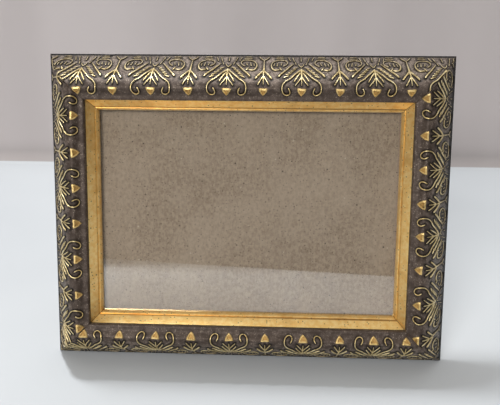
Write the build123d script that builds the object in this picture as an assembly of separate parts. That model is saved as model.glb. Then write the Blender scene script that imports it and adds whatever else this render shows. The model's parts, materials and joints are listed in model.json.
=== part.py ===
from build123d import *
import math
import os

# Tabletop display frame: four mitred moulding rails round a gilt slip, a pane of glass and a
# board, closed by an easel back whose hinged strut makes the frame lean on the table.
#
# Everything is drawn flat first: X to the right, Y up the frame, Z out towards the viewer, with
# Z = 0 at the moulding's inner lip. The last step leans the frame back and sets it on its table.
# All sizes are in millimetres and degrees.

# Board that the frame is made to take, and the play round it in the rebate
insert_width = 177.8
insert_height = 127.0
insert_play = 1.0

# Layers from the lip back: lip, slip, glass, board, two fillers, easel back, and what is left
lip_thickness = 3.6
slip_height = 8.4
glass_thickness = 2.0
board_thickness = 2.0
foam_thickness = 5.0
corrugated_thickness = 2.8
back_thickness = 3.0
back_recess = 0.2

# Moulding section, measured outward from the lip and up from it
face_width = 25.3
rebate_ledge = 3.0
lip_nose = 0.7
cove_out = 2.9
cove_rise = 0.3
crest_out = 6.5
crest_rise = 2.6
shoulder_out = 12.5
shoulder_drop = 1.5
slope_out = 16.7
slope_drop = 8.8
side_wall = 1.8

# Gilt slip: its plain slope, the fine groove and the bead at the sight edge
slip_show = 5.4
slip_play = 0.2
bead_width = 1.5
bead_height = 3.4
bead_foot = 0.5
slip_groove_depth = 0.25
slip_groove_width = 0.35

# Mitre nails, pressed in from the back
nail_leg = 5.0
nail_thickness = 0.5
nail_height = 7.0
nail_setbacks = (8.0, 16.0)
mitre_angle = 45

# How the frame stands
lean = 12.0
strut_opening = 25.0

# Strut hinge: a fixed leaf on the easel back, a moving leaf on the strut, one pin
hinge_strap_gap = 3.5
leaf_thickness = 0.8
knuckle_radius = 1.7
hinge_pin_radius = 0.8
hinge_running_gap = 0.05
hinge_gap = 0.3
stop_gap = 0.03
middle_knuckle = 13.0
outer_knuckle = 7.0
fixed_leaf_height = 15.0
moving_leaf_height = 18.0
moving_leaf_width = 24.0
leaf_corner = 2.0
pin_head_radius = 1.3
pin_head_height = 0.5

# Strut board
strut_thickness = 2.5
strut_top_width = 28.0
strut_foot_width = 46.0
strut_top_gap = 0.8
strut_corner = 4.0

# Rivets
rivet_radius = 1.2
rivet_head_radius = 2.4
rivet_head_height = 0.9
rivet_tail_radius = 2.1
rivet_tail_height = 0.6
fixed_rivet_spacing = 18.0
fixed_rivet_up = 9.0
moving_rivet_spacing = 14.0
moving_rivet_down = 12.0

# Turn buttons that hold the easel back, two on the top rail and two on the bottom rail
button_spacing = 120.0
button_length = 20.0
button_width = 9.0
button_thickness = 1.0
button_end = 4.5
button_setback = 6.5
button_gap = 0.1
button_boss_radius = 3.6
button_boss_height = 0.4
screw_radius = 1.45
screw_length = 10.0
screw_point = 2.5
screw_head_radius = 2.7
screw_head_height = 1.3
screw_head_rim = 0.5
screw_slot_width = 0.7
screw_slot_depth = 0.6
screw_gap = 0.05

# Hanger at the top of the easel back: a riveted strap and a three-cornered ring
hanger_down = 4.0
strap_width = 8.0
strap_thickness = 0.7
strap_length = 11.0
strap_rivet_down = 6.5
ring_wire_radius = 0.8
ring_running_gap = 0.05
ring_base = 15.0
ring_height = 13.0
ring_corner = 2.0

# Levels, front to back
ledge_level = -lip_thickness
glass_front = ledge_level - slip_height
board_front = glass_front - glass_thickness
foam_front = board_front - board_thickness
corrugated_front = foam_front - foam_thickness
back_front = corrugated_front - corrugated_thickness
back_rear = back_front - back_thickness
frame_rear = back_rear - back_recess

# Openings and the outside
rebate_width = insert_width + 2 * insert_play
rebate_height = insert_height + 2 * insert_play
lip_width = rebate_width - 2 * rebate_ledge
lip_height = rebate_height - 2 * rebate_ledge
outer_height = lip_height + 2 * face_width

# Hanger axis: the strap's loop lies on the back
strap_loop_radius = ring_wire_radius + ring_running_gap + strap_thickness
hanger_up = insert_height / 2 - hanger_down
hanger_level = back_rear - strap_loop_radius

# Hinge axis: its fixed leaf starts below the hanger's strap, and it stands clear of the back by
# whichever is thicker, the knuckle or the strut
hinge_up = hanger_up - strap_length - hinge_strap_gap - fixed_leaf_height
strut_seat = knuckle_radius - leaf_thickness
hinge_standoff = max(knuckle_radius, strut_thickness - strut_seat) + hinge_gap
hinge_level = back_rear - hinge_standoff

# The table, in the flat drawing: the frame stands on its lower rear edge
lean_cosine = math.cos(math.radians(lean))
lean_sine = math.sin(math.radians(lean))
table_distance = outer_height / 2 * lean_cosine - frame_rear * lean_sine


def box_between(x_span, y_span, z_span):
    low = [min(span) for span in (x_span, y_span, z_span)]
    size = [abs(span[1] - span[0]) for span in (x_span, y_span, z_span)]
    return Pos(*low) * Box(*size, align=(Align.MIN, Align.MIN, Align.MIN))


def rod_along_x(radius, x_span, y, z):
    length = x_span[1] - x_span[0]
    middle = (x_span[0] + x_span[1]) / 2
    return Pos(middle, y, z) * Rot(Y=90) * Cylinder(radius, length)


def cap_arc(radius, height, base):
    # Round dome standing down from a flat base, from its rim to the axis
    sphere = (radius**2 + height**2) / (2 * height)
    half_angle = math.asin(radius / sphere) / 2
    middle = (
        sphere * math.sin(half_angle),
        base - height + sphere * (1 - math.cos(half_angle)),
    )
    return ThreePointArc((radius, base), middle, (0, base - height))


def moulding_section():
    # (distance out from the lip, height): nose, crest, outer slope, side wall, back, rebate
    arris_level = frame_rear + side_wall
    nose_middle = lip_nose * (1 - math.cos(math.radians(45)))
    nose = ThreePointArc((0, -lip_nose), (nose_middle, -nose_middle), (lip_nose, 0))
    slope_run = (face_width - slope_out, arris_level + slope_drop)
    crest = Spline(
        (lip_nose, 0),
        (cove_out, cove_rise),
        (crest_out, crest_rise),
        (shoulder_out, -shoulder_drop),
        (slope_out, -slope_drop),
        tangents=((1, 0), slope_run),
    )
    rest = Polyline(
        (slope_out, -slope_drop),
        (face_width, arris_level),
        (face_width, frame_rear),
        (rebate_ledge, frame_rear),
        (rebate_ledge, ledge_level),
        (0, ledge_level),
        (0, -lip_nose),
    )
    return make_face(Wire([*nose.edges(), *crest.edges(), *rest.edges()]))


def slip_section():
    # Same axes; the slip shows inside the lip, so its distances out are negative there
    hidden = rebate_ledge - slip_play
    groove_out = bead_width - slip_show
    groove_level = glass_front + bead_foot + bead_height
    slope = (groove_level - ledge_level) / groove_out
    groove_mouth = groove_out + slip_groove_width
    outline = Polyline(
        (groove_out, groove_level - slip_groove_depth),
        (groove_mouth, ledge_level + slope * groove_mouth),
        (0, ledge_level),
        (hidden, ledge_level),
        (hidden, glass_front),
        (-slip_show, glass_front),
        (-slip_show, glass_front + bead_foot),
    )
    bulge = math.sin(math.radians(45))
    bead = ThreePointArc(
        (-slip_show, glass_front + bead_foot),
        (groove_out - bulge * bead_width, glass_front + bead_foot + bulge * bead_height),
        (groove_out, groove_level - slip_groove_depth),
    )
    return make_face(Wire([*outline.edges(), *bead.edges()]))


def mitred_sides(section, innermost, outermost):
    # Four lengths of one section round the lip opening, each cut at both ends on the mitre
    deep = 4 * abs(frame_rear)
    sides = {}
    turns = (
        ("top", 0, lip_width, lip_height),
        ("left", 90, lip_height, lip_width),
        ("bottom", 180, lip_width, lip_height),
        ("right", -90, lip_height, lip_width),
    )
    for side, turn, along, across in turns:
        face = Pos(0, across / 2, 0) * (Plane.YZ * section)
        run = extrude(face, amount=along / 2 + outermost, both=True)
        corners = [
            (-along / 2 - innermost, across / 2 + innermost),
            (along / 2 + innermost, across / 2 + innermost),
            (along / 2 + outermost, across / 2 + outermost),
            (-along / 2 - outermost, across / 2 + outermost),
        ]
        mitre = extrude(make_face(Polyline(*corners, close=True)), amount=deep / 2, both=True)
        sides[side] = Rot(Z=turn) * (run & mitre)
    return sides


def corner_nails():
    # A V of sheet steel astride the mitre, its two legs square to each other
    leg = Pos(nail_leg / 2, 0, 0) * Box(nail_leg, nail_thickness, nail_height)
    vee = Rot(Z=mitre_angle) * leg + Rot(Z=-mitre_angle) * leg
    nails = []
    for x_side in (-1, 1):
        for y_side in (-1, 1):
            outward = math.degrees(math.atan2(y_side, x_side))
            for setback in nail_setbacks:
                x = x_side * (lip_width / 2 + face_width - setback)
                y = y_side * (lip_height / 2 + face_width - setback)
                nails.append(Pos(x, y, frame_rear + nail_height / 2) * Rot(Z=outward) * vee)
    return nails


def layer(front, thickness):
    return box_between(
        (-insert_width / 2, insert_width / 2),
        (-insert_height / 2, insert_height / 2),
        (front, front - thickness),
    )


def button_places():
    # Screw axes, with the turn that points each button's long end over the easel back
    out = rebate_height / 2 + button_setback
    return {
        "top_left": (-button_spacing / 2, out, -90),
        "top_right": (button_spacing / 2, out, -90),
        "bottom_left": (-button_spacing / 2, -out, 90),
        "bottom_right": (button_spacing / 2, -out, 90),
    }


def turn_button():
    # Drawn with its screw hole on the Z axis, its long end along +X and its face to the back
    outline = Pos(button_length / 2 - button_end, 0) * SlotOverall(button_length, button_width)
    plate = extrude(outline, amount=-button_thickness)
    boss = Pos(0, 0, -button_thickness - button_boss_height / 2) * Cone(
        bottom_radius=button_boss_radius - button_boss_height,
        top_radius=button_boss_radius,
        height=button_boss_height,
    )
    hole = Cylinder(screw_radius + screw_gap, 4 * (button_thickness + button_boss_height))
    return plate + boss - hole


def button_screw():
    # Its head bears on the button's boss; z = 0 is the frame's rear face
    seat = -(button_gap + button_thickness + button_boss_height + screw_gap)
    profile = make_face(
        Wire(
            [
                *Polyline(
                    (0, seat - screw_head_height),
                    (0, screw_length),
                    (screw_radius, screw_length - screw_point),
                    (screw_radius, seat),
                    (screw_head_radius, seat),
                    (screw_head_radius, seat - screw_head_rim),
                ).edges(),
                *cap_arc(
                    screw_head_radius, screw_head_height - screw_head_rim, seat - screw_head_rim
                ).edges(),
            ]
        )
    )
    body = revolve(Plane.XZ * profile, Axis.Z)
    slot_floor = seat - screw_head_height + screw_slot_depth
    slot = box_between(
        (-screw_head_radius, screw_head_radius),
        (-screw_slot_width / 2, screw_slot_width / 2),
        (slot_floor, slot_floor - screw_head_height),
    )
    return body - slot


def rivet(grip):
    # Domed head from z = 0 downwards, shank up through the grip, tail flush with its far face
    profile = make_face(
        Wire(
            [
                *Polyline(
                    (0, -rivet_head_height),
                    (0, grip),
                    (rivet_tail_radius, grip),
                    (rivet_tail_radius, grip - rivet_tail_height),
                    (rivet_radius, grip - rivet_tail_height),
                    (rivet_radius, 0),
                    (rivet_head_radius, 0),
                ).edges(),
                *cap_arc(rivet_head_radius, rivet_head_height, 0).edges(),
            ]
        )
    )
    return revolve(Plane.XZ * profile, Axis.Z)


def fixed_rivets():
    grip = leaf_thickness + back_thickness
    level = back_rear - leaf_thickness
    spots = (-fixed_rivet_spacing / 2, fixed_rivet_spacing / 2)
    return [Pos(x, hinge_up + fixed_rivet_up, level) * rivet(grip) for x in spots]


def moving_rivets():
    grip = leaf_thickness + strut_thickness
    level = hinge_level - knuckle_radius
    spots = (-moving_rivet_spacing / 2, moving_rivet_spacing / 2)
    return [Pos(x, hinge_up - moving_rivet_down, level) * rivet(grip) for x in spots]


def hanger_rivet():
    grip = strap_thickness + back_thickness
    place = Pos(0, hanger_up - strap_rivet_down, back_rear - strap_thickness)
    return place * rivet(grip)


def knuckle_spans():
    inner = middle_knuckle / 2 + hinge_gap
    return ((-inner - outer_knuckle, -inner), (inner, inner + outer_knuckle))


def fixed_leaf(rivets):
    # A plate on the easel back above the pin, wrapped round the pin at its two ends
    half = middle_knuckle / 2 + hinge_gap + outer_knuckle
    clear = knuckle_radius + hinge_gap
    plate = box_between(
        (-half, half),
        (hinge_up + clear, hinge_up + fixed_leaf_height),
        (back_rear, back_rear - leaf_thickness),
    )
    plate = fillet(plate.edges().filter_by(Axis.Z).group_by(Axis.Y)[-1], leaf_corner)
    leaf = plate
    for span in knuckle_spans():
        leaf += box_between(
            span,
            (hinge_up, hinge_up + clear + leaf_thickness),
            (back_rear, hinge_level + knuckle_radius - leaf_thickness),
        )
        leaf += rod_along_x(knuckle_radius, span, hinge_up, hinge_level)
    leaf -= rod_along_x(hinge_pin_radius, (-half, half), hinge_up, hinge_level)
    for one in rivets:
        leaf -= one
    return leaf


def stop_length():
    # How far the moving leaf runs on past the pin, so that it meets the fixed leaf when open
    opening = math.radians(strut_opening)
    gap = hinge_standoff - leaf_thickness - stop_gap
    return (gap + strut_seat * math.cos(opening)) / math.sin(opening)


def moving_leaf(rivets):
    # Drawn with the strut folded flat: a plate on the strut's rear face below the pin
    half = middle_knuckle / 2
    rear = hinge_level - knuckle_radius
    seat = hinge_level - strut_seat
    clear = knuckle_radius + hinge_gap
    plate = box_between(
        (-moving_leaf_width / 2, moving_leaf_width / 2),
        (hinge_up - moving_leaf_height, hinge_up - clear),
        (rear, seat),
    )
    leaf = fillet(plate.edges().filter_by(Axis.Z).group_by(Axis.Y)[0], leaf_corner)
    leaf += box_between((-half, half), (hinge_up - clear, hinge_up + stop_length()), (rear, seat))
    leaf += rod_along_x(knuckle_radius, (-half, half), hinge_up, hinge_level)
    bore = hinge_pin_radius + hinge_running_gap
    leaf -= rod_along_x(bore, (-half, half), hinge_up, hinge_level)
    for one in rivets:
        leaf -= one
    return leaf


def hinge_pin():
    half = middle_knuckle / 2 + hinge_gap + outer_knuckle
    pin = rod_along_x(hinge_pin_radius, (-half, half), hinge_up, hinge_level)
    for side in (-1, 1):
        head = Cone(
            bottom_radius=pin_head_radius,
            top_radius=hinge_pin_radius,
            height=pin_head_height,
        )
        place = Pos(side * (half + pin_head_height / 2), hinge_up, hinge_level)
        pin += place * Rot(Y=side * 90) * head
    return pin


def strut(rivets):
    # Drawn folded flat and overlong; swing_open and the table cut its foot
    seat = hinge_level - strut_seat
    top = hinge_up - knuckle_radius - strut_top_gap
    bottom = hinge_up - strut_reach()
    corners = [
        (-strut_top_width / 2, top),
        (strut_top_width / 2, top),
        (strut_foot_width / 2, bottom),
        (-strut_foot_width / 2, bottom),
    ]
    outline = make_face(Polyline(*corners, close=True))
    outline = fillet(outline.vertices().group_by(Axis.Y)[-1], strut_corner)
    board = Pos(0, 0, seat) * extrude(outline, amount=strut_thickness)
    for one in rivets:
        board -= one
    return board


def strut_reach():
    # Pin to table along the open strut, and past it by the strut's own thickness
    pin_height = hinge_up * lean_cosine + hinge_level * lean_sine + table_distance
    slant = math.radians(strut_opening - lean)
    return pin_height / math.cos(slant) + 2 * strut_thickness


def swing_open(shape):
    pin = Pos(0, hinge_up, hinge_level)
    return pin * Rot(X=strut_opening) * pin.inverse() * shape


def below_table():
    deep = outer_height
    slab = box_between((-outer_height, outer_height), (-deep, 0), (-outer_height, outer_height))
    return Rot(X=lean) * Pos(0, -table_distance, 0) * slab


def hanger_strap():
    # Sheet strip folded round the ring's base and laid down on the back below it
    half = strap_width / 2
    tail = box_between(
        (-half, half),
        (hanger_up - strap_length, hanger_up),
        (back_rear, back_rear - strap_thickness),
    )
    tail = fillet(tail.edges().filter_by(Axis.Z).group_by(Axis.Y)[0], leaf_corner)
    loop = rod_along_x(strap_loop_radius, (-half, half), hanger_up, hanger_level)
    eye = rod_along_x(
        ring_wire_radius + ring_running_gap, (-half, half), hanger_up, hanger_level
    )
    return tail + loop - eye - hanger_rivet()


def hanger_ring():
    # Hangs straight down in the room, so it is turned against the frame's lean
    path = FilletPolyline(
        (-ring_base / 2, 0),
        (ring_base / 2, 0),
        (0, -ring_height),
        radius=ring_corner,
        close=True,
    )
    wire = sweep(Plane.YZ * Circle(ring_wire_radius), path=path)
    return Pos(0, hanger_up, hanger_level) * Rot(X=lean) * wire


def build_flat():
    nodes = {}
    rails = mitred_sides(moulding_section(), 0, face_width)
    nails = corner_nails()
    for side, rail in rails.items():
        for nail in nails:
            rail -= nail
        nodes[f"rail_{side}"] = rail
    for side, slip in mitred_sides(slip_section(), -slip_show, rebate_ledge).items():
        nodes[f"slip_{side}"] = slip
    nodes["corner_nails"] = Compound(children=nails)

    nodes["glass_pane"] = layer(glass_front, glass_thickness)
    nodes["display_board"] = layer(board_front, board_thickness)
    nodes["foam_filler"] = layer(foam_front, foam_thickness)
    nodes["corrugated_filler"] = layer(corrugated_front, corrugated_thickness)
    back = layer(back_front, back_thickness)
    for one in (*fixed_rivets(), hanger_rivet()):
        back -= one
    nodes["easel_back"] = back

    screws = []
    for name, (x, y, turn) in button_places().items():
        screw = Pos(x, y, frame_rear) * button_screw()
        screws.append(screw)
        side = name.split("_")[0]
        nodes[f"rail_{side}"] -= screw
        button = Rot(Z=turn) * turn_button()
        nodes[f"turn_button_{name}"] = Pos(x, y, frame_rear - button_gap) * button
    nodes["button_screws"] = Compound(children=screws)

    nodes["hinge_fixed_leaf"] = fixed_leaf(fixed_rivets())
    nodes["hinge_pin"] = hinge_pin()
    nodes["hinge_rivets"] = Compound(children=fixed_rivets())
    nodes["hanger_strap"] = hanger_strap()
    nodes["hanger_rivet"] = hanger_rivet()
    nodes["hanger_ring"] = hanger_ring()

    nodes["hinge_moving_leaf"] = swing_open(moving_leaf(moving_rivets()))
    nodes["strut_rivets"] = swing_open(Compound(children=moving_rivets()))
    nodes["strut"] = swing_open(strut(moving_rivets())) - below_table()
    return nodes


def stand(nodes):
    # Front to -Y, top to +Z, leaning back; then the table to Z = 0 under the middle of the whole
    upright = {name: Rot(X=90 - lean) * shape for name, shape in nodes.items()}
    boxes = [shape.bounding_box() for shape in upright.values()]
    front = min(box.min.Y for box in boxes)
    rear = max(box.max.Y for box in boxes)
    place = Pos(0, -(front + rear) / 2, table_distance)
    return {name: place * shape for name, shape in upright.items()}


os.makedirs("parts", exist_ok=True)
for node, shape in stand(build_flat()).items():
    shape.label = node
    export_step(shape, f"parts/{node}.step")
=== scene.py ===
import bisect
import json
import math
import random

import bmesh
import bpy
from mathutils import Matrix, Vector, kdtree, noise

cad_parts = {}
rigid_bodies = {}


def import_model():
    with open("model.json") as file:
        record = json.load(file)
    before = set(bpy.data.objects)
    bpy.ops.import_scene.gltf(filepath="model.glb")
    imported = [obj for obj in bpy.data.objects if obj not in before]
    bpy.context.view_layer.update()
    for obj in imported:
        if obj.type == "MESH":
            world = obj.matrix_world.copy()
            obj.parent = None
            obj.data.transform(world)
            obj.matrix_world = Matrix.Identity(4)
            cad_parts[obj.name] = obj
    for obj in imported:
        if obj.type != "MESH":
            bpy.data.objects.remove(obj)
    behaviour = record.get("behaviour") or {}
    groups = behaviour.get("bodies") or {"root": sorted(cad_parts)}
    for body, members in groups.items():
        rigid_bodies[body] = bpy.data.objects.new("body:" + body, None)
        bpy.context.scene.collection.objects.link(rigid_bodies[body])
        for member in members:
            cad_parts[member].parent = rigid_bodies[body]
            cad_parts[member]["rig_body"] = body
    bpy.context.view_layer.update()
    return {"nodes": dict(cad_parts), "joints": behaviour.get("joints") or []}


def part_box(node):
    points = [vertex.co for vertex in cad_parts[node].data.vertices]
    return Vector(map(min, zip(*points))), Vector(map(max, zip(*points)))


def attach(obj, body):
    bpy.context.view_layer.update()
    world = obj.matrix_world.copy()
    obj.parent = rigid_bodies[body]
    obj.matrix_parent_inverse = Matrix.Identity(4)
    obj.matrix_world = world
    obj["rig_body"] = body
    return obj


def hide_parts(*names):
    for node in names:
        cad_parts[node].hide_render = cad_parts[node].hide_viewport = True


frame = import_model()
scene = bpy.context.scene
mm = 0.001
noise.seed_set(11)                                    # every run shakes the strokes alike
close = 1e-6                                          # points nearer than this are one, in m

# the flat drawing stands with X across, Y up the frame and Z out of its front
joints = {joint["name"]: joint for joint in frame["joints"]}
outward = -Vector(joints["turn_button_top_left_turn"]["axis"]).normalized()
upFrame = outward.cross(Vector((1, 0, 0)))
paneLow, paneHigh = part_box("glass_pane")
paneDepth = 13 * mm                                   # lip down to the middle of the pane
lipCentre = (paneLow + paneHigh) / 2 + outward * paneDepth
standing = Matrix((
    (1, upFrame.x, outward.x, lipCentre.x),
    (0, upFrame.y, outward.y, lipCentre.y),
    (0, upFrame.z, outward.z, lipCentre.z),
    (0, 0, 0, 1),
))
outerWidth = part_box("rail_top")[1].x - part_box("rail_top")[0].x

moulding = {
    "faceWidth": 25.3 * mm,
    "lipHeight": 123 * mm,                            # window between the top and bottom lips
    "lipNose": 0.7 * mm,
    "noseSteps": 6,
    "crest": [(0.7, 0), (2.9, 0.3), (6.5, 2.6), (12.5, -1.5), (16.7, -8.8)],   # out, up, in mm
    "arris": (25.3, -25.2),
    "sideWall": 1.8 * mm,
    "rebateLedge": 3.0 * mm,
    "lipThickness": 3.6 * mm,
    "grid": 0.5 * mm,
    "mitreGap": 0.07 * mm,
    "sink": 0.2 * mm,                                 # ground pressed down beside a stroke
    # reach of the sink and of the dark ring beside a stroke; the ring is patina and painted shadow
    "haloWidth": 1.5 * mm,
    "waver": 0.05 * mm,
    "waverSize": 6 * mm,
    "calmEdge": 1.5 * mm,                             # strip beside the lip and arris with no unevenness
    "calmLip": 0.2 * mm,
    "mitreLine": 0.35 * mm,
    "blackFrom": {"top": 39.5, "left": 36.0, "right": 36.0, "bottom": 38.5},   # dark border, mm out
    "blackFade": (-1.0, 0.4),
    "behindFace": 45 * mm,                            # "out" on the side wall, past the dark border
    "shadeAngle": 50,
}

cameraSetup = {
    "place": (0.0177, -0.3549, 0.2235),
    "turn": (69.52, 0.03, 2.75),                      # degrees
    "lens": 48.32,
}
stageSetup = {
    "front": ((-2.4, -2.28), (-0.65, -2.28), (0.3, -1.24), (2.4, -1.24)),   # near edge of the table
    "wallDistance": 0.35,
    "coveRadius": 0.014,
    "wallHeight": 0.45,
    "coveSteps": 8,
    "clothRise": 0.15,                                # share of the cove that is still cloth
    "cloth": "cbd0d4",
    # the fold tones are painted light and shade of folds that the flat cloth and wall don't have
    "clothFoldShading": "c1c6cb",
    "wall": "b6b0b0",
    "wallFoldShading": "c2bcbc",
    # painted shadow in the crease at the foot of the wall
    "wallFootShadow": "8f8a88",
    "creaseShadowHeight": 0.03,
}
lightSetup = {
    # name: (place, aim, size, power, colour)
    "ceiling": ((-0.3, 0.31, 1.55), (0, -0.02, 0.08), 0.22, 16, (0.98, 0.99, 1)),
    "front": ((-0.5, -1.35, 0.85), (0, 0, 0.08), 0.55, 18, (1, 0.965, 0.93)),
    "horizon": "5a5551",
    "zenith": "d4d1cc",
    "risesFrom": 0.45,                                # sine of the height where the room turns pale
    "risesTo": 0.9,
}


def addCamera(setup):
    lens = bpy.data.cameras.new("viewpoint")
    lens.lens = setup["lens"]
    lens.clip_start = 0.01
    camera = bpy.data.objects.new("viewpoint", lens)
    camera.location = setup["place"]
    camera.rotation_euler = [math.radians(angle) for angle in setup["turn"]]
    scene.collection.objects.link(camera)
    scene.camera = camera


def addLight(name, place, aim, size, power, colour):
    lamp = bpy.data.lights.new(name, "AREA")
    lamp.size = size
    lamp.energy = power
    lamp.color = colour
    light = bpy.data.objects.new(name, lamp)
    light.location = place
    light.rotation_euler = (Vector(aim) - Vector(place)).to_track_quat("-Z", "Y").to_euler()
    scene.collection.objects.link(light)


addCamera(cameraSetup)
for lightName in ("ceiling", "front"):
    addLight(lightName, *lightSetup[lightName])
scene.view_settings.view_transform = "Standard"
print("camera and lights placed")


class Wire:
    # a socket that takes part in sums, and the tree that it belongs to
    def __init__(self, tree, socket=None):
        self.tree = tree
        self.socket = socket

    def node(self, kind, settings, values, output=0):
        made = self.tree.nodes.new("ShaderNode" + kind)
        for name, value in settings.items():
            setattr(made, name, value)
        for name, value in values.items():
            if isinstance(value, Wire):
                self.tree.links.new(value.socket, made.inputs[name])
            else:
                made.inputs[name].default_value = value
        return Wire(self.tree, made.outputs[output])

    def maths(self, operation, first, second):
        return self.node("Math", {"operation": operation}, {0: first, 1: second})

    def __add__(self, other):
        return self.maths("ADD", self, other)

    def __sub__(self, other):
        return self.maths("SUBTRACT", self, other)

    def __rsub__(self, other):
        return self.maths("SUBTRACT", other, self)

    def __mul__(self, other):
        return self.maths("MULTIPLY", self, other)

    def __lt__(self, other):
        return self.maths("LESS_THAN", self, other)

    __radd__ = __add__
    __rmul__ = __mul__

    def between(self, low, high):                     # 0 at low, 1 at high, smooth
        settings = {"interpolation_type": "SMOOTHSTEP"}
        return self.node("MapRange", settings, {"Value": self, "From Min": low, "From Max": high})

    def noise(self, scale, detail=3, roughness=0.55):
        values = {"Vector": self, "Scale": scale, "Detail": detail, "Roughness": roughness}
        return self.node("TexNoise", {}, values)

    def stretched(self, x, y, z):
        return self.node("Mapping", {}, {"Vector": self, "Scale": (x, y, z)})

    def specks(self, scale, radius, share):           # small round spots in a share of the cells
        values = {"Vector": self, "Scale": scale, "Randomness": 1.0}
        distance = self.node("TexVoronoi", {}, values, "Distance")
        cell = self.node("TexVoronoi", {}, values, "Color")
        lot = self.node("SeparateColor", {}, {"Color": cell})
        return (1 - distance.between(radius * 0.6, radius)) * (lot < share)

    def attribute(self, name):
        return self.node("Attribute", {"attribute_name": name}, {}, "Fac")

    def mix(self, first, second):                     # self is the share of the second
        return self.node("Mix", {"data_type": "RGBA"}, {0: self, 6: first, 7: second}, 2)

    def bump(self, distance, strength=1.0):
        return self.node("Bump", {}, {"Height": self, "Distance": distance, "Strength": strength})


def tone(code):                                       # six hex digits to linear light
    parts = [int(code[i:i + 2], 16) / 255 for i in (0, 2, 4)]
    return (*[((c + 0.055) / 1.055) ** 2.4 if c > 0.04 else c / 12.92 for c in parts], 1)


def startFinish(name):
    material = bpy.data.materials.new(name)
    material.use_nodes = True
    material.node_tree.nodes.clear()
    start = Wire(material.node_tree)
    return material, start.node("TexCoord", {}, {}, "Object")


def endFinish(place, shader):
    end = place.tree.nodes.new("ShaderNodeOutputMaterial")
    place.tree.links.new(shader.socket, end.inputs["Surface"])


def surface(place, colour, roughness, metallic, normal, specular=0.5):
    values = {"Base Color": colour, "Roughness": roughness, "Metallic": metallic, "Normal": normal,
              "Specular IOR Level": specular}
    endFinish(place, place.node("BsdfPrincipled", {}, values))


def addRoom(setup):
    # dark towards the horizon, pale overhead
    world = bpy.data.worlds.new("room")
    world.use_nodes = True
    world.node_tree.nodes.clear()
    start = Wire(world.node_tree)
    height = start.node("SeparateXYZ", {}, {0: start.node("TexCoord", {}, {}, "Generated")}, "Z")
    share = height.between(setup["risesFrom"], setup["risesTo"])
    colour = share.mix(tone(setup["horizon"]), tone(setup["zenith"]))
    sky = start.node("Background", {}, {"Color": colour, "Strength": 1.0})
    end = world.node_tree.nodes.new("ShaderNodeOutputWorld")
    world.node_tree.links.new(sky.socket, end.inputs["Surface"])
    scene.world = world


addRoom(lightSetup)

# colours are six hex digits, as a screen shows them
bronzeLook = {
    # the lip band tone is painted shade on the face near the lip
    "shade": "463b34", "mid": "776a61", "pale": "b9ab9c", "lipShadeTone": "3b3029",
    # the near-black tone is patina and painted shadow beside and under the strokes
    "darkMarksAndShade": "120e0b", "rub": "d9c38c", "rubPale": "f0e2b8", "rubWarm": "e6c47c", "edge": "0b0a09",
    "heart": "c2954f",
    "lipShadeBand": (9 * mm, 15.5 * mm),                      # the painted shade by the lip fades out over this stretch
    "faint": (22 * mm, 30 * mm),                      # less rubbed from here out
    "border": (40 * mm, 40.6 * mm),
    "roughness": 0.48, "metallic": 0.3, "specular": 0.3,
}


def bronzeFinish(look):
    material, place = startFinish("bronzed")
    out = place.attribute("out")
    rub = place.attribute("rub")
    warm = place.attribute("warm")
    darkMarksAndShade = place.attribute("darkMarksAndShade")
    cloud = place.noise(45, 3)
    mottle = place.noise(330, 5, 0.7)
    grit = place.noise(1500, 3, 0.6)
    ground = mottle.between(0.36, 0.62).mix(tone(look["shade"]), tone(look["mid"]))
    # pale grit only out past the painted shade by the lip
    ground = (grit.between(0.5, 0.66) * out.between(0.009, 0.02)).mix(ground, tone(look["pale"]))
    ground = (cloud.between(0.42, 0.6) * 0.45).mix(ground, tone(look["shade"]))
    # painted shade: the face near the lip is darkened on every rail, where it turns away from the light
    lipShadeBand = 1 - (out + mottle * 0.004).between(*look["lipShadeBand"])
    ground = (lipShadeBand * 0.6).mix(ground, tone(look["lipShadeTone"]))
    flecks = grit.between(0.56, 0.68) * mottle.between(0.4, 0.6)
    ground = (flecks * 0.6).mix(ground, tone(look["pale"]))
    # patina and painted shadow beside the strokes and at their feet, near black
    ground = (darkMarksAndShade * (0.72 + mottle * 0.5)).mix(ground, tone(look["darkMarksAndShade"]))
    gold = mottle.between(0.4, 0.66).mix(tone(look["rub"]), tone(look["rubPale"]))
    gold = (warm.between(0.0, 1.0) * 0.75).mix(gold, tone(look["rubWarm"]))
    gold = (warm.between(1.1, 2.0) * 0.75).mix(gold, tone(look["heart"]))
    faint = 1 - out.between(*look["faint"]) * 0.55
    worn = rub * faint * (grit + mottle).between(0.62, 1.0)
    colour = worn.mix(ground, gold)
    edge = (out + grit * 0.0006).between(*look["border"])
    colour = edge.mix(colour, tone(look["edge"]))
    roughness = look["roughness"] - worn * 0.1 + mottle * 0.12 + edge * 0.3
    metallic = (look["metallic"] + worn * 0.5) * (1 - edge)
    relief = (grit * 0.4 + mottle).bump(0.00022, 0.7)
    surface(place, colour, roughness, metallic, relief, look["specular"])
    return material


giltLook = {
    "deep": "c9944a", "body": "f4c777", "bright": "fddf9c", "line": "7d5528", "fly": "33210f",
    "spot": (-35, -2.9, -6.8), "spotRadius": 0.4,     # one large fly speck on the left slip, mm
    "roughness": 0.27, "metallic": 0.82,
}


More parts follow.
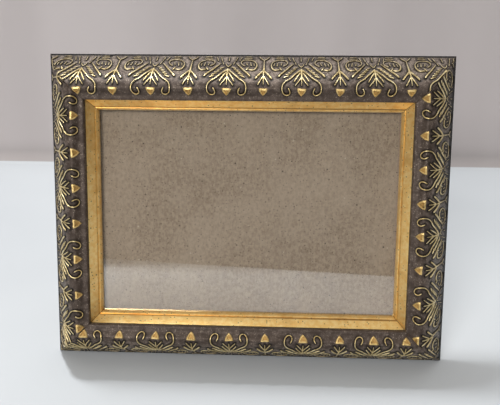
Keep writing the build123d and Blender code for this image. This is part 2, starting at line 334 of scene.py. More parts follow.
def giltFinish(look):
    material, place = startFinish("gilt")
    cloud = place.noise(70, 3)
    mottle = place.noise(420, 5, 0.65)
    brush = place.noise(1300, 2)
    colour = mottle.between(0.3, 0.7).mix(tone(look["body"]), tone(look["bright"]))
    colour = (cloud.between(0.5, 0.72) * 0.4).mix(colour, tone(look["deep"]))
    # painted shade in the slip's groove, stronger on the top and bottom slips than on the sides; the same
    # tone marks the dark mitre joints
    colour = (place.attribute("darkMarksAndShade") * 0.6).mix(colour, tone(look["line"]))
    up, out, level = (value * mm for value in look["spot"])
    spot = standing @ Vector((moulding["faceWidth"] - outerWidth / 2 - out, up, level))
    near = place.node("VectorMath", {"operation": "DISTANCE"}, {0: place, 1: spot}, "Value")
    big = 1 - near.between(look["spotRadius"] * mm, look["spotRadius"] * 1.6 * mm)
    flies = place.specks(560, 0.22, 0.5) + place.specks(300, 0.15, 0.45) + big
    colour = (flies * 0.7).mix(colour, tone(look["fly"]))
    roughness = look["roughness"] + mottle * 0.05 + flies * 0.2
    relief = (mottle * 0.7 + brush * 0.2 - flies).bump(0.00002, 0.3)
    surface(place, colour, roughness, look["metallic"] - flies * 0.7, relief)
    return material


boardLook = {"body": "aa9885", "deep": "8d7b6a", "pale": "b5a493", "fleck": "382d25", "chip": "e6dccb"}


def greyboardFinish(look):
    material, place = startFinish("greyboard")
    cloud = place.noise(26, 4)
    pulp = place.noise(520, 5, 0.7)
    fibre = place.stretched(1, 1, 0.35).noise(900, 4, 0.7)
    colour = (pulp * 0.6 + fibre * 0.4).between(0.38, 0.62).mix(tone(look["deep"]), tone(look["body"]))
    colour = (cloud.between(0.4, 0.65) * 0.4).mix(colour, tone(look["pale"]))
    dark = place.specks(260, 0.13, 0.5) + place.specks(120, 0.075, 0.45)
    pepper = place.specks(640, 0.27, 0.5)
    pale = place.specks(210, 0.11, 0.3)
    colour = (pale * 0.35).mix(colour, tone(look["chip"]))
    colour = (pepper * 0.45).mix(colour, tone(look["fleck"]))
    colour = (dark * 0.75).mix(colour, tone(look["fleck"]))
    relief = (fibre + pulp * 0.6).bump(0.0001, 0.5)
    surface(place, colour, 0.86 + pulp * 0.1, 0.0, relief)
    return material


glassLook = {"faceOn": 0.16, "tint": "fbfdfc", "haze": 0.03}


def glassFinish(look):
    material, place = startFinish("paneGlass")
    smear = place.stretched(1, 1, 0.15).noise(55, 3)
    aslant = place.node("LayerWeight", {}, {"Blend": 0.5}, "Facing")
    share = aslant.maths("POWER", aslant, 5.0) * (1 - look["faceOn"]) + look["faceOn"]
    haze = smear.between(0.5, 0.75) * look["haze"]
    clear = place.node("BsdfTransparent", {}, {"Color": tone(look["tint"])})
    mirror = place.node("BsdfAnisotropic", {}, {"Roughness": 0.02, "Color": (1, 1, 1, 1)})
    endFinish(place, place.node("MixShader", {}, {0: share + haze, 1: clear, 2: mirror}))
    return material


woodLook = {"pale": "cdb28a", "dark": "a98a60", "ring": "8f7148"}


def woodFinish(look):
    material, place = startFinish("bareWood")
    warp = place.noise(30, 2)
    grain = place.stretched(0.12, 1, 1).noise(700, 5, 0.65)
    pore = place.stretched(0.05, 1, 1).noise(2400, 2)
    colour = grain.between(0.35, 0.65).mix(tone(look["dark"]), tone(look["pale"]))
    colour = (warp.between(0.45, 0.6) * 0.35).mix(colour, tone(look["ring"]))
    surface(place, colour, 0.78 + grain * 0.12, 0.0, (grain + pore).bump(0.00012, 0.5))
    return material


def coveredFinish(name, dark, pale):                  # grained paper over board
    material, place = startFinish(name)
    pebble = place.node("TexVoronoi", {"feature": "SMOOTH_F1"}, {"Vector": place, "Scale": 900.0}, 0)
    wrinkle = place.noise(260, 4, 0.6)
    scuff = place.noise(35, 5, 0.7)
    colour = (pebble * 0.6 + wrinkle * 0.5).between(0.3, 0.75).mix(tone(dark), tone(pale))
    colour = (scuff.between(0.6, 0.78) * 0.35).mix(colour, tone(pale))
    roughness = 0.55 + scuff * 0.2
    surface(place, colour, roughness, 0.0, (pebble + wrinkle * 0.5).bump(0.00012, 0.8))
    return material


def metalFinish(name, body, dull, rough):             # plated steel with handling marks
    material, place = startFinish(name)
    haze = place.noise(300, 4, 0.6)
    scratch = place.stretched(1, 6, 0.4).noise(1600, 3)
    tarnish = place.noise(105, 4, 0.7).between(0.5, 0.72)
    colour = (tarnish * 0.6).mix(tone(body), tone(dull))
    roughness = rough + haze * 0.18 + tarnish * 0.15
    surface(place, colour, roughness, 1.0, (scratch + haze).bump(0.00003, 0.5))
    return material


def packingFinish(name, body, deep, flutes):          # foam and corrugated fillers
    material, place = startFinish(name)
    grain = place.noise(700, 4)
    wave = place.node("TexWave", {}, {"Vector": place, "Scale": flutes, "Distortion": 0.4}, "Fac")
    colour = (grain * 0.5 + wave * 0.4).between(0.2, 0.8).mix(tone(deep), tone(body))
    surface(place, colour, 0.85 + grain * 0.1, 0.0, (wave + grain * 0.3).bump(0.0002, 0.6))
    return material


finishes = {
    "bronze": bronzeFinish(bronzeLook),
    "gilt": giltFinish(giltLook),
    "greyboard": greyboardFinish(boardLook),
    "glass": glassFinish(glassLook),
    "wood": woodFinish(woodLook),
    "cover": coveredFinish("blackCover", "0e0d0d", "2b2928"),
    "nickel": metalFinish("nickelPlate", "c3beb4", "8a857b", 0.24),
    "brass": metalFinish("brassPlate", "d8bc7a", "9a7d45", 0.28),
    "screw": metalFinish("brassedScrew", "cdb073", "84693a", 0.32),
    "steel": metalFinish("bluedSteel", "4a4d55", "2b2622", 0.38),
    "foam": packingFinish("foamFiller", "e9e6df", "cfcac0", 120),
    "corrugated": packingFinish("corrugatedFiller", "b6925f", "8f6f45", 150),
}
print("finishes made")


def seeThroughBack(place, colour, roughness, normal):  # so that the wall hides nothing from behind
    values = {"Base Color": colour, "Roughness": roughness, "Normal": normal, "Specular IOR Level": 0.12}
    cloth = place.node("BsdfPrincipled", {}, values)
    clear = place.node("BsdfTransparent", {}, {})
    behind = place.node("NewGeometry", {}, {}, "Backfacing")
    endFinish(place, place.node("MixShader", {}, {0: behind, 1: cloth, 2: clear}))


def stageFinish(look):
    material, place = startFinish("paleCloth")
    weave = place.noise(900, 3)
    # painted shade of folds in the flat cloth
    foldShading = place.noise(2.2, 3)
    colour = foldShading.between(0.3, 0.7).mix(tone(look["cloth"]), tone(look["clothFoldShading"]))
    seeThroughBack(place, colour, 0.92 + weave * 0.05, weave.bump(0.0002, 0.3))
    return material


def wallFinish(look):
    material, place = startFinish("paleWall")
    # painted light and shade of upright folds in the flat wall
    foldShading = place.stretched(3, 1, 0.4).noise(1.6, 3)
    colour = foldShading.between(0.35, 0.65).mix(tone(look["wall"]), tone(look["wallFoldShading"]))
    # painted shadow along the foot of the wall, where it meets the floor
    height = place.node("SeparateXYZ", {}, {0: place}, "Z")
    creaseShadow = 1 - height.between(0.0, look["creaseShadowHeight"])
    colour = (creaseShadow * 0.5).mix(colour, tone(look["wallFootShadow"]))
    seeThroughBack(place, colour, 0.95 + foldShading * 0.05, foldShading.bump(0.001, 0.2))
    return material


def addStage(setup):
    # a floor strip, a curved foot and a wall, spun and extruded from one edge
    bm = bmesh.new()
    near = [bm.verts.new((x, y, 0)) for x, y in setup["front"]]
    edges = [bm.edges.new(pair) for pair in zip(near, near[1:])]
    floorEnd = setup["wallDistance"]
    radius = setup["coveRadius"]
    grown = bmesh.ops.extrude_edge_only(bm, edges=edges)["geom"]
    moved = [v for v in grown if isinstance(v, bmesh.types.BMVert)]
    for vert in moved:
        vert.co.y = floorEnd
    last = [e for e in grown if isinstance(e, bmesh.types.BMEdge) and all(v in moved for v in e.verts)]
    spun = bmesh.ops.spin(bm, geom=last, cent=(0, floorEnd, radius), axis=(1, 0, 0), dvec=(0, 0, 0),
                          angle=math.pi / 2, steps=setup["coveSteps"], use_merge=False)["geom_last"]
    top = [e for e in spun if isinstance(e, bmesh.types.BMEdge)]
    grown = bmesh.ops.extrude_edge_only(bm, edges=top)["geom"]
    moved = [v for v in grown if isinstance(v, bmesh.types.BMVert)]
    bmesh.ops.translate(bm, verts=moved, vec=(0, 0, setup["wallHeight"]))
    bmesh.ops.recalc_face_normals(bm, faces=bm.faces)
    floor = min(bm.faces, key=lambda face: face.calc_center_median().z)
    if floor.normal.z < 0:                            # an open sheet may be turned either way
        bmesh.ops.reverse_faces(bm, faces=bm.faces)
    mesh = bpy.data.meshes.new("backdrop")
    for face in bm.faces:
        face.smooth = True
        face.material_index = int(face.calc_center_median().z > radius * setup["clothRise"])
    bm.to_mesh(mesh)
    bm.free()
    mesh.materials.append(stageFinish(setup))
    mesh.materials.append(wallFinish(setup))
    backdrop = bpy.data.objects.new("backdrop", mesh)
    scene.collection.objects.link(backdrop)


addStage(stageSetup)
print("floor and wall placed")


def curveThrough(knots, step):
    # evenly spaced points on a smooth line through the knots
    points = []
    for i in range(len(knots) - 1):
        before, start, end, after = (knots[max(0, min(len(knots) - 1, i + k))] for k in (-1, 0, 1, 2))
        pull = (end - start).length
        leaving = (end - before).normalized() * pull / 3
        arriving = (after - start).normalized() * pull / 3
        handles = (start + leaving, end - arriving)
        count = max(1, round(pull / step))
        for k in range(count):
            t = k / count
            points.append(start * (1 - t) ** 3 + handles[0] * 3 * t * (1 - t) ** 2
                          + handles[1] * 3 * t * t * (1 - t) + end * t ** 3)
    points.append(knots[-1].copy())
    return points


def faceLine(sizes):
    # (distance along the line from the lip, point, normal) from the lip's nose to the outer arris
    nose = sizes["lipNose"]
    turns = [math.pi / 2 * k / sizes["noseSteps"] for k in range(sizes["noseSteps"])]
    arc = [Vector((nose * (1 - math.cos(a)), nose * (math.sin(a) - 1))) for a in turns]
    crest = curveThrough([Vector(p) * mm for p in sizes["crest"]], sizes["grid"] / 2)
    line = arc + crest + [Vector(sizes["arris"]) * mm]
    start = nose - nose * math.pi / 2
    rows = []
    out = start
    for i, point in enumerate(line):
        if i:
            out += (point - line[i - 1]).length
        ahead = line[min(i + 1, len(line) - 1)] - line[max(i - 1, 0)]
        rows.append((out, point, Vector((-ahead.y, ahead.x)).normalized()))
    return rows


faceRows = faceLine(moulding)
faceOuts = [row[0] for row in faceRows]
faceStart = faceRows[0][0]
faceEnd = faceRows[-1][0]


def onFace(along, out, lift):
    # place on the moulding for flat coordinates; x along, y out from the lip, z up
    i = min(max(bisect.bisect_left(faceOuts, out), 1), len(faceRows) - 1)
    (outA, pointA, normalA), (outB, pointB, normalB) = faceRows[i - 1], faceRows[i]
    t = min(1, max(0, (out - outA) / (outB - outA)))
    point = pointA.lerp(pointB, t) + normalA.lerp(normalB, t).normalized() * lift
    return Vector((along, point.x, point.y))


# the ornament is drawn flat, in mm: along the rail, out from the lip
# a stroke is (points, widths spread evenly along it, height above the ground)
palmette = {
    "centre": [
        ([(0, 23.4), (0, 17.5), (0, 12.5), (0, 8.9)], (1.3, 1.5, 0.7, 0.5), 0.55),
        ([(0, 33), (0, 38)], (0.7, 0.7), 0.35),
    ],
    "paired": [
        ([(0.2, 22.2), (2.8, 17.6), (5.9, 13.2), (8.4, 11.2), (9.8, 9.2), (10.1, 6.8), (9.3, 4.6), (7.8, 3.5),
          (6.4, 4.1), (6.0, 5.9), (6.9, 7.5)], (1.4, 1.1, 0.9, 0.75, 0.75, 0.75, 0.7), 0.6),
        ([(0.5, 18.7), (2.1, 14.9), (3.9, 11.1)], (1.1, 1.0, 0.7), 0.5),
        ([(0.1, 14.6), (1.2, 12.0), (3.4, 8.8)], (0.9, 0.8, 0.6), 0.42),
        ([(1.7, 25.0), (4.2, 23.4)], (0.5, 1.0), 0.45),
        ([(2.9, 22.6), (5.6, 20.9)], (0.5, 1.05), 0.45),
        ([(4.1, 20.2), (6.9, 18.5)], (0.5, 1.1), 0.45),
        ([(5.3, 17.8), (8.2, 16.2)], (0.5, 1.1), 0.45),
        ([(6.6, 15.5), (9.3, 14.1)], (0.5, 1.0), 0.45),
        ([(4.2, 29.4), (8.0, 22.0), (12.0, 14.8)], (0.7, 1.1, 1.5), 0.55),
        ([(1.5, 29.6), (0.9, 27.2), (0, 25.7)], (0.7, 0.8, 0.9), 0.35),
        ([(2.7, 28.7), (3.3, 32.0)], (0.7, 0.7), 0.35),
        ([(3.6, 32.6), (4.6, 38)], (0.7, 0.7), 0.35),
        ([(5.8, 33.4), (6.9, 38)], (0.7, 0.7), 0.35),
    ],
}
sprig = {
    "centre": [([(0, 34.0), (0, 28), (0, 20.5), (0, 14), (0, 9.2)], (0.9, 0.9, 1.7, 0.8, 0.5), 0.5)],
    "paired": [
        ([(2.8, 38.2), (1.4, 35.6), (0, 33.8)], (0.7, 0.9, 1.0), 0.42),
        ([(0.2, 20.8), (2.0, 17.0), (4.3, 13.0)], (1.3, 1.2, 1.2), 0.58),
        ([(0.1, 15.2), (1.4, 12.2), (2.9, 9.2)], (0.9, 0.9, 0.8), 0.48),
        ([(8.3, 22.6), (5.6, 22.0), (4.0, 25.6), (4.2, 29.9), (6.0, 33.0), (8.8, 34.2), (11.4, 33.4),
          (12.4, 30.9), (11.7, 28.2), (10.2, 26.6)], (1.5, 1.4, 0.9, 0.8, 0.8, 0.8, 0.8), 0.45),
        ([(9.3, 22.0), (8.2, 24.9)], (1.2, 0.8), 0.4),
        ([(5.6, 30.4), (5.2, 27.0)], (0.7, 0.8), 0.35),
        ([(7.4, 31.2), (6.9, 26.9)], (0.7, 0.9), 0.35),
        ([(9.5, 31.0), (9.0, 27.7)], (0.7, 0.8), 0.35),
        ([(6.2, 36.4), (11.0, 36.4)], (0.6, 0.7, 0.6), 0.3),
        ([(6.6, 38.3), (10.6, 38.3)], (0.6, 0.7, 0.6), 0.3),
    ],
}
bud = {
    "half": [(0, 7.5), (1.5, 7.6), (2.6, 7.4), (2.3, 5.9), (1.4, 4.1), (0, 2.4)],
    "steps": [(0.3, 0.5), (0.62, 0.12), (0.15, -0.35)],   # inset, rise, in mm
    "sunk": 0.25,
    # the bud's sunk centre is darkened: patina and painted shade
    "heart": {"rub": 0.8, "warm": 2.0, "darkMarksAndShade": 0.5},
}
nick = {"side": "top", "along": (-81.2, -76.4), "out": (38.8, 41.95), "depth": 1.0, "soft": 0.6}   # mm
ornament = {
    "gap": 0.55 * mm,
    "sides": 1,                                       # bevel resolution of a stroke
    "shake": 0.12 * mm,
    "shakeSize": 0.012,
    "sway": 0.06,
    "thin": 0.76,
    "tall": 1.2,
    "ending": 0.55,                                   # share of the width left at a stroke's tips
    # height up a stroke past which its foot has no patina or painted shade
    "rubbed": (0.05 * mm, 0.34 * mm),                 # heights where the gold starts and is full
    "clearOfPatinaAndShade": 0.3 * mm,
    "warmed": (11 * mm, 5 * mm),                      # strokes turn warmer from here in to here
    "warmth": 0.6,
}
# where the motifs fall along each rail, in mm from its middle, to the right or up the frame
patterns = {
    "top": {
        "palmette": (-89.7, -50.8, -11.2, 27.7, 65.8, 103.1),
        "sprig": (-109.4, -70.8, -31.1, 7.9, 47.5, 83.9),
    },
    "bottom": {
        "palmette": (-89.7, -49.7, -9.2, 31.2, 69.4, 106.8),
        "sprig": (-109.4, -69.7, -30.0, 10.5, 51.1, 86.9),
    },
    "left": {
        "palmette": (-63.2, -24.3, 14.6, 53.2, 92.2),
        "sprig": (-82.6, -44.3, -4.6, 33.5, 73.5),
    },
    "right": {
        "palmette": (-83.6, -46.0, -8.5, 26.8, 63.7),
        "sprig": (-65.4, -26.5, 8.7, 44.6, 82.4),
    },
}
sideTurns = {"top": 0, "left": 90, "bottom": 180, "right": -90}
sideRuns = {"top": 1, "left": 1, "bottom": -1, "right": -1}   # which way a rail's own X runs


def strokeLines(motif, centre):
    # every stroke of a motif as (points, radii, height), mirrored about its centre line
    lines = []
    for group, sides in (("centre", (1,)), ("paired", (-1, 1))):
        for points, widths, height in motif[group]:
            for side in sides:
                knots = [Vector((centre + side * x, y, 0)) * mm for x, y in points]
                line = curveThrough(knots, ornament["gap"])
                shaken = []
                for point in line:
                    push = noise.noise_vector(point / ornament["shakeSize"]) * ornament["shake"]
                    shaken.append(Vector((point.x + push.x, point.y + push.y, 0)))
                radii = []
                for k in range(len(line)):
                    where = k / max(1, len(line) - 1) * (len(widths) - 1)
                    low = min(int(where), len(widths) - 2)
                    width = widths[low] + (widths[low + 1] - widths[low]) * (where - low)
                    radii.append(width / 2 * mm * ornament["thin"])
                lines.append((shaken, radii, height * ornament["tall"] * mm))
    return lines


def strokesMesh(lines):
    # each stroke is a round-ended bar, half sunk in the ground
    curve = bpy.data.curves.new("strokes", "CURVE")
    curve.dimensions = "3D"
    curve.bevel_depth = 1.0
    curve.bevel_resolution = ornament["sides"]
    curve.use_fill_caps = True
    for points, radii, height in lines:
        spline = curve.splines.new("POLY")
        spline.points.add(len(points) - 1)
        for k, point in enumerate(points):
            radius = radii[k] * (ornament["ending"] if k in (0, len(points) - 1) else 1)
            spline.points[k].co = (point.x, point.y, height - radii[k], 1)
            spline.points[k].radius = radius
    holder = bpy.data.objects.new("strokes", curve)
    scene.collection.objects.link(holder)
    bpy.context.view_layer.update()
    mesh = bpy.data.meshes.new_from_object(holder.evaluated_get(bpy.context.evaluated_depsgraph_get()))
    bpy.data.objects.remove(holder)
    bpy.data.curves.remove(curve)
    return mesh


def addBud(bm, centre, wobble):
    # heart-shaped boss with a raised rim round a hollow
    half = bud["half"]
    outline = half + [(-x, y) for x, y in reversed(half[1:-1])]
    middle = sum(y for _, y in half) / len(half)
    turn = Matrix.Rotation(wobble.uniform(-1, 1) * ornament["sway"], 2)
    grow = 1 + wobble.uniform(-1, 1) * ornament["sway"]
    corners = []
    for x, y in outline:
        spot = turn @ Vector((x, y - middle)) * grow
        corners.append(bm.verts.new(((centre + spot.x) * mm, (middle + spot.y) * mm, -bud["sunk"] * mm)))
    face = bm.faces.new(corners)
    face.normal_update()
    if face.normal.z < 0:
        face.normal_flip()
    kept = bmesh.ops.extrude_face_region(bm, geom=[face], use_keep_orig=True)["geom"]
    top = [f for f in kept if isinstance(f, bmesh.types.BMFace)]
    bmesh.ops.translate(bm, verts=top[0].verts, vec=(0, 0, bud["sunk"] * mm))
    made = set(corners) | set(top[0].verts)
    for inset, rise in bud["steps"]:
        ring = bmesh.ops.inset_region(bm, faces=top, thickness=inset * mm, depth=rise * mm,
                                      use_even_offset=True, use_boundary=True)["faces"]
        made.update(v for f in ring for v in f.verts)
    made.update(top[0].verts)
    faces = {f for v in made for f in v.link_faces}
    bmesh.ops.recalc_face_normals(bm, faces=list(faces))
    return made, set(top[0].verts)


def smoothShare(value, low, high):
    t = min(1, max(0, (value - low) / (high - low)))
    return t * t * (3 - 2 * t)


def strokeFinder(lines):
    # nearest stroke to a flat point, so that the ground beside it can be darkened with patina and painted
    # shadow
    spots = [(point, radii[k]) for points, radii, _ in lines for k, point in enumerate(points)]
    tree = kdtree.KDTree(len(spots))
    for k, (point, _) in enumerate(spots):
        tree.insert(point, k)
    tree.balance()
    return tree, [radius for _, radius in spots]


def shadeEdges(bm, limit):
    for face in bm.faces:
        face.smooth = True
    for edge in bm.edges:
        edge.smooth = not (edge.is_manifold and edge.calc_face_angle() > math.radians(limit))


def finishPiece(bm, name, body, materials, replaced, sharp):
    shadeEdges(bm, sharp)
    mesh = bpy.data.meshes.new(name)
    bm.to_mesh(mesh)
    bm.free()
    for material in materials:
        mesh.materials.append(material)
    piece = bpy.data.objects.new(name, mesh)
    scene.collection.objects.link(piece)
    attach(piece, body)
    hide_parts(*replaced)
    return piece


def cutMitres(bm, half, sizes, layer):
    # both ends at 45 degrees, inwards towards the lip, then closed; a dark line is left beside each cut
    line = sizes["mitreGap"] + sizes["mitreLine"]
    for side in (-1, 1):
        for inset, last in ((line, False), (sizes["mitreGap"], True)):
            cut = bmesh.ops.bisect_plane(
                bm, geom=[*bm.verts, *bm.edges, *bm.faces], dist=close / 10,
                plane_co=(side * (half - inset), 0, 0), plane_no=(side, -1, 0), clear_outer=last)
        for vert in cut["geom_cut"]:
            if isinstance(vert, bmesh.types.BMVert):
                vert[layer] = 1.0
        rim = [e for e in cut["geom_cut"] if isinstance(e, bmesh.types.BMEdge)]
        bmesh.ops.holes_fill(bm, edges=[e for e in rim if e.is_boundary], sides=0)


def standUp(bm, side, offset):
    turn = Matrix.Rotation(math.radians(sideTurns[side]), 4, "Z")
    bmesh.ops.transform(bm, matrix=standing @ turn @ Matrix.Translation((0, offset, 0)), verts=bm.verts)


def railLines(side):
    lines = []
    for name, motif in (("palmette", palmette), ("sprig", sprig)):
        for centre in patterns[side][name]:
            lines += strokeLines(motif, sideRuns[side] * centre)
    return lines


def layOrnament(side, lines):
    # strokes and buds, with how rubbed and warm in tone each point is, and how dark with patina and painted
    # shade
    bm = bmesh.new()
    bm.from_mesh(strokesMesh(lines))
    layers = {name: bm.verts.layers.float.new(name) for name in ("out", "rub", "warm", "darkMarksAndShade")}
    wobble = random.Random(side)
    buds = {}
    for name in ("palmette", "sprig"):
        for centre in patterns[side][name]:
            verts, heart = addBud(bm, sideRuns[side] * centre, wobble)
            for vert in verts:
                buds[vert] = vert in heart
    for vert in bm.verts:
        warmer = smoothShare(vert.co.y, *ornament["warmed"]) * ornament["warmth"]
        vert[layers["out"]] = vert.co.y
        vert[layers["rub"]] = smoothShare(vert.co.z, *ornament["rubbed"])
        vert[layers["warm"]] = 1.0 if vert in buds else warmer
        # the foot of each stroke is darkened: patina and painted shade in the crevice
        vert[layers["darkMarksAndShade"]] = 1.0 - smoothShare(vert.co.z, 0.0, ornament["clearOfPatinaAndShade"])
        if buds.get(vert):
            for name, value in bud["heart"].items():
                vert[layers[name]] = value
    return bm, layers


def nickShare(x, y):
    # how far into the nick a flat point lies, from 0 to 1
    share = 1
    for value, (low, high) in ((x / mm, nick["along"]), (y / mm, nick["out"])):
        share *= smoothShare(value, low - nick["soft"], low + nick["soft"])
        share *= smoothShare(value, high + nick["soft"], high - nick["soft"] / 2)
    return share


def layGround(bm, layers, side, half, lines):
    # the face under the ornament, pressed down beside each stroke and darkened there with patina and painted
    # shadow
    middle = (faceStart + faceEnd) / 2
    reach = (faceEnd - faceStart) / 2
    spread = Matrix.Translation((0, middle, 0)) @ Matrix.Diagonal((half, reach, 1, 1))
    cells = [round(2 * size / moulding["grid"]) for size in (half, reach)]
    grid = bmesh.ops.create_grid(bm, x_segments=cells[0], y_segments=cells[1], size=1, matrix=spread)
    tree, radii = strokeFinder(lines)
    for vert in grid["verts"]:
        x, y, _ = vert.co
        _, index, distance = tree.find(Vector((x, y, 0)))
        # dark ring beside each stroke: patina, widened and darkened to paint the shadows between strokes
        near = 1 - smoothShare(distance - radii[index], 0, moulding["haloWidth"])
        vert[layers["out"]] = y
        vert[layers["darkMarksAndShade"]] = near
        uneven = noise.noise(vert.co / moulding["waverSize"]) * moulding["waver"]
        calm = smoothShare(y, moulding["calmLip"], moulding["calmEdge"])
        calm *= smoothShare(y, faceEnd, faceEnd - moulding["calmEdge"])
        vert.co.z = (uneven - near * moulding["sink"]) * calm
        if side == nick["side"]:
            bite = nickShare(x, y)
            vert.co.z -= bite * nick["depth"] * mm
            vert[layers["darkMarksAndShade"]] = max(near, min(1, bite * 2))


def bendOntoFace(bm, layers, side):
    # the outer border is darkened, and the flat drawing follows the moulding's section
    start, full = (moulding["blackFrom"][side] + fade for fade in moulding["blackFade"])
    for vert in bm.verts:
        black = smoothShare(vert.co.y / mm, start, full)
        vert[layers["darkMarksAndShade"]] = max(vert[layers["darkMarksAndShade"]], black)
        vert[layers["rub"]] *= 1 - black
        vert.co = onFace(*vert.co)


def wrapRail(bm, layers):
    # side wall, back, rebate wall and ledge, drawn out from the arris and joined to the lip
    rear = moulding["arris"][1] * mm - moulding["sideWall"]
    ledge = -moulding["lipThickness"]
    corners = [                                       # material, out, up
        (0, moulding["faceWidth"], rear),
        (1, moulding["rebateLedge"], rear),
        (1, moulding["rebateLedge"], ledge),
        (1, 0, ledge),
    ]
    border = [e for e in bm.edges if e.is_boundary]
    edges = [e for e in border if all(v[layers["out"]] > faceEnd - close for v in e.verts)]
    for material, out, level in corners:
        grown = bmesh.ops.extrude_edge_only(bm, edges=edges)["geom"]
        moved = {v for v in grown if isinstance(v, bmesh.types.BMVert)}
        for vert in moved:
            vert.co.y = out
            vert.co.z = level
            vert[layers["out"]] = moulding["behindFace"]
        edges = [e for e in grown if isinstance(e, bmesh.types.BMEdge) and all(v in moved for v in e.verts)]
        for face in {f for e in edges for f in e.link_faces}:
            face.material_index = material
    lip = [e for e in bm.edges if e.is_boundary and all(abs(v.co.y) < close for v in e.verts)]
    bmesh.ops.bridge_loops(bm, edges=[e for e in lip if abs(e.verts[0].co.x - e.verts[1].co.x) > close])
    bmesh.ops.recalc_face_normals(bm, faces=bm.faces)


def railMesh(side):
    lines = railLines(side)
    bm, layers = layOrnament(side, lines)
    print("ornament", side, len(lines), "strokes", len(bm.faces), "faces")
    long = outerWidth / 2
    tall = moulding["lipHeight"] / 2 + moulding["faceWidth"]
    half, reach = (long, tall) if side in ("top", "bottom") else (tall, long)
    layGround(bm, layers, side, half, lines)
    bendOntoFace(bm, layers, side)
    wrapRail(bm, layers)
    cutMitres(bm, half - moulding["faceWidth"], moulding, layers["darkMarksAndShade"])
    standUp(bm, side, reach - moulding["faceWidth"])
    return bm


for side in sideTurns:
    finishPiece(railMesh(side), "moulding_" + side, "frame",
                [finishes["bronze"], finishes["wood"]], ["rail_" + side], moulding["shadeAngle"])
print("rails made")

slipSizes = {
    "show": 5.4, "bead": 1.5, "beadHeight": 3.4, "beadFoot": 0.5, "grooveDepth": 0.25, "grooveWidth": 0.35,
    "hidden": 2.8, "top": -3.6, "glass": -12.0,       # mm, as the section is drawn
    "beadSteps": 7,
    "slopeRows": (0.0, 0.25, 0.5, 0.75, 0.93, 1.0),
    "step": 1.2 * mm,
    "waver": 0.035 * mm,
    "waverSize": 9 * mm,
    "mitreGap": 0.1 * mm,
    "mitreLine": 0.35 * mm,
    # how much painted shade lies in the groove of each slip
    "grooveShade": {"top": 1.0, "bottom": 1.0, "left": 0.4, "right": 0.4},
    "shadeAngle": 35,
}


def slipOutline(sizes):
    # closed section; x is out from the lip, y is up; True marks the groove
    grooveOut = sizes["bead"] - sizes["show"]
    grooveLevel = sizes["glass"] + sizes["beadFoot"] + sizes["beadHeight"]
    slope = (grooveLevel - sizes["top"]) / grooveOut
    mouth = grooveOut + sizes["grooveWidth"]
    points = [(sizes["hidden"], sizes["glass"], False), (sizes["hidden"], sizes["top"], False)]
    for share in sizes["slopeRows"]:
        points.append((mouth * share, sizes["top"] + slope * mouth * share, share == 1.0))
    for k in range(sizes["beadSteps"] + 1):
        angle = math.pi / 2 * (1 - k / sizes["beadSteps"])
        x = grooveOut - math.cos(angle) * sizes["bead"]
        y = sizes["glass"] + sizes["beadFoot"] + math.sin(angle) * sizes["beadHeight"]
        points.append((x, y - (sizes["grooveDepth"] if k == 0 else 0), k == 0))
    points.append((-sizes["show"], sizes["glass"], False))
    return points


def slipMesh(side):
    long = outerWidth / 2 - moulding["faceWidth"]
    tall = moulding["lipHeight"] / 2
    along, offset = (long, tall) if side in ("top", "bottom") else (tall, long)
    half = along + slipSizes["hidden"] * mm
    bm = bmesh.new()
    layer = bm.verts.layers.float.new("darkMarksAndShade")
    chain = []
    for out, up, groove in slipOutline(slipSizes):
        vert = bm.verts.new((-half, out * mm, up * mm))
        # the groove gets painted shade
        vert[layer] = slipSizes["grooveShade"][side] if groove else 0.0
        chain.append(vert)
    edges = [bm.edges.new((chain[k - 1], chain[k])) for k in range(len(chain))]
    steps = round(2 * half / slipSizes["step"])
    bmesh.ops.spin(bm, geom=edges, cent=(0, 0, 0), axis=(1, 0, 0), dvec=(2 * half / steps, 0, 0),
                   angle=0, steps=steps, use_merge=False)
    for vert in bm.verts:
        if vert.co.y < 0:
            push = noise.noise(Vector((vert.co.x, vert.co.y + offset, vert.co.z)) / slipSizes["waverSize"])
            vert.co.z += push * slipSizes["waver"]
    bmesh.ops.recalc_face_normals(bm, faces=bm.faces)
    cutMitres(bm, along, slipSizes, layer)
    standUp(bm, side, offset)
    return bm


for side in sideTurns:
    finishPiece(slipMesh(side), "giltSlip_" + side, "frame", [finishes["gilt"]],
                ["slip_" + side], slipSizes["shadeAngle"])
print("slips made")

# these keep their designed shape and get a better material
flatNodes = {
    "glass_pane": "glass", "display_board": "greyboard", "foam_filler": "foam",
    "corrugated_filler": "corrugated", "corner_nails": "steel",
}
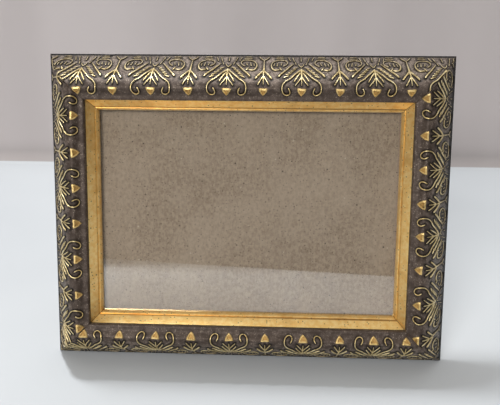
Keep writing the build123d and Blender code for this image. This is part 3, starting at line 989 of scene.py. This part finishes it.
# these are made again with their sharp edges broken: (finish, record slot, edge rounding in mm)
softNodes = {
    "easel_back": ("cover", "black_board", 0.35),
    "strut": ("cover", "black_board", 0.45),
    "hinge_fixed_leaf": ("nickel", "nickel_plate", 0.12),
    "hinge_moving_leaf": ("nickel", "nickel_plate", 0.12),
    "hinge_pin": ("nickel", "nickel_plate", 0.08),
    "hinge_rivets": ("nickel", "nickel_plate", 0.08),
    "strut_rivets": ("nickel", "nickel_plate", 0.08),
    "hanger_strap": ("brass", "brass_plate", 0.1),
    "hanger_rivet": ("brass", "brass_plate", 0.08),
    "hanger_ring": ("brass", "brass_plate", 0),
    "button_screws": ("screw", "brassed_screw", 0.06),
    "turn_button_top_left": ("brass", "brass_plate", 0.14),
    "turn_button_top_right": ("brass", "brass_plate", 0.14),
    "turn_button_bottom_left": ("brass", "brass_plate", 0.14),
    "turn_button_bottom_right": ("brass", "brass_plate", 0.14),
}
brokenEdges = {"flatWithin": 0.5, "sharpFrom": 40, "segments": 2, "shadeAngle": 35}   # degrees


def softened(node, finishName, slotName, rounding):
    source = frame["nodes"][node]
    bm = bmesh.new()
    bm.from_mesh(source.data)
    bmesh.ops.remove_doubles(bm, verts=bm.verts, dist=close)
    flat = math.radians(brokenEdges["flatWithin"])
    bmesh.ops.dissolve_limit(bm, angle_limit=flat, verts=bm.verts, edges=bm.edges)
    steep = math.radians(brokenEdges["sharpFrom"])
    sharp = [e for e in bm.edges if e.is_manifold and e.calc_face_angle() > steep]
    if rounding:
        bmesh.ops.bevel(bm, geom=sharp, offset=rounding * mm, offset_type="OFFSET", affect="EDGES",
                        segments=brokenEdges["segments"], profile=0.5, material=-1, clamp_overlap=True)
    bmesh.ops.triangulate(bm, faces=[f for f in bm.faces if len(f.verts) > 4])
    finishPiece(bm, node + "_worn", source["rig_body"], [finishes[finishName]], [node],
                brokenEdges["shadeAngle"])


for node, finishName in flatNodes.items():
    materials = frame["nodes"][node].data.materials
    materials.clear()
    materials.append(finishes[finishName])
for node, choice in softNodes.items():
    softened(node, *choice)
print("back and hardware made")
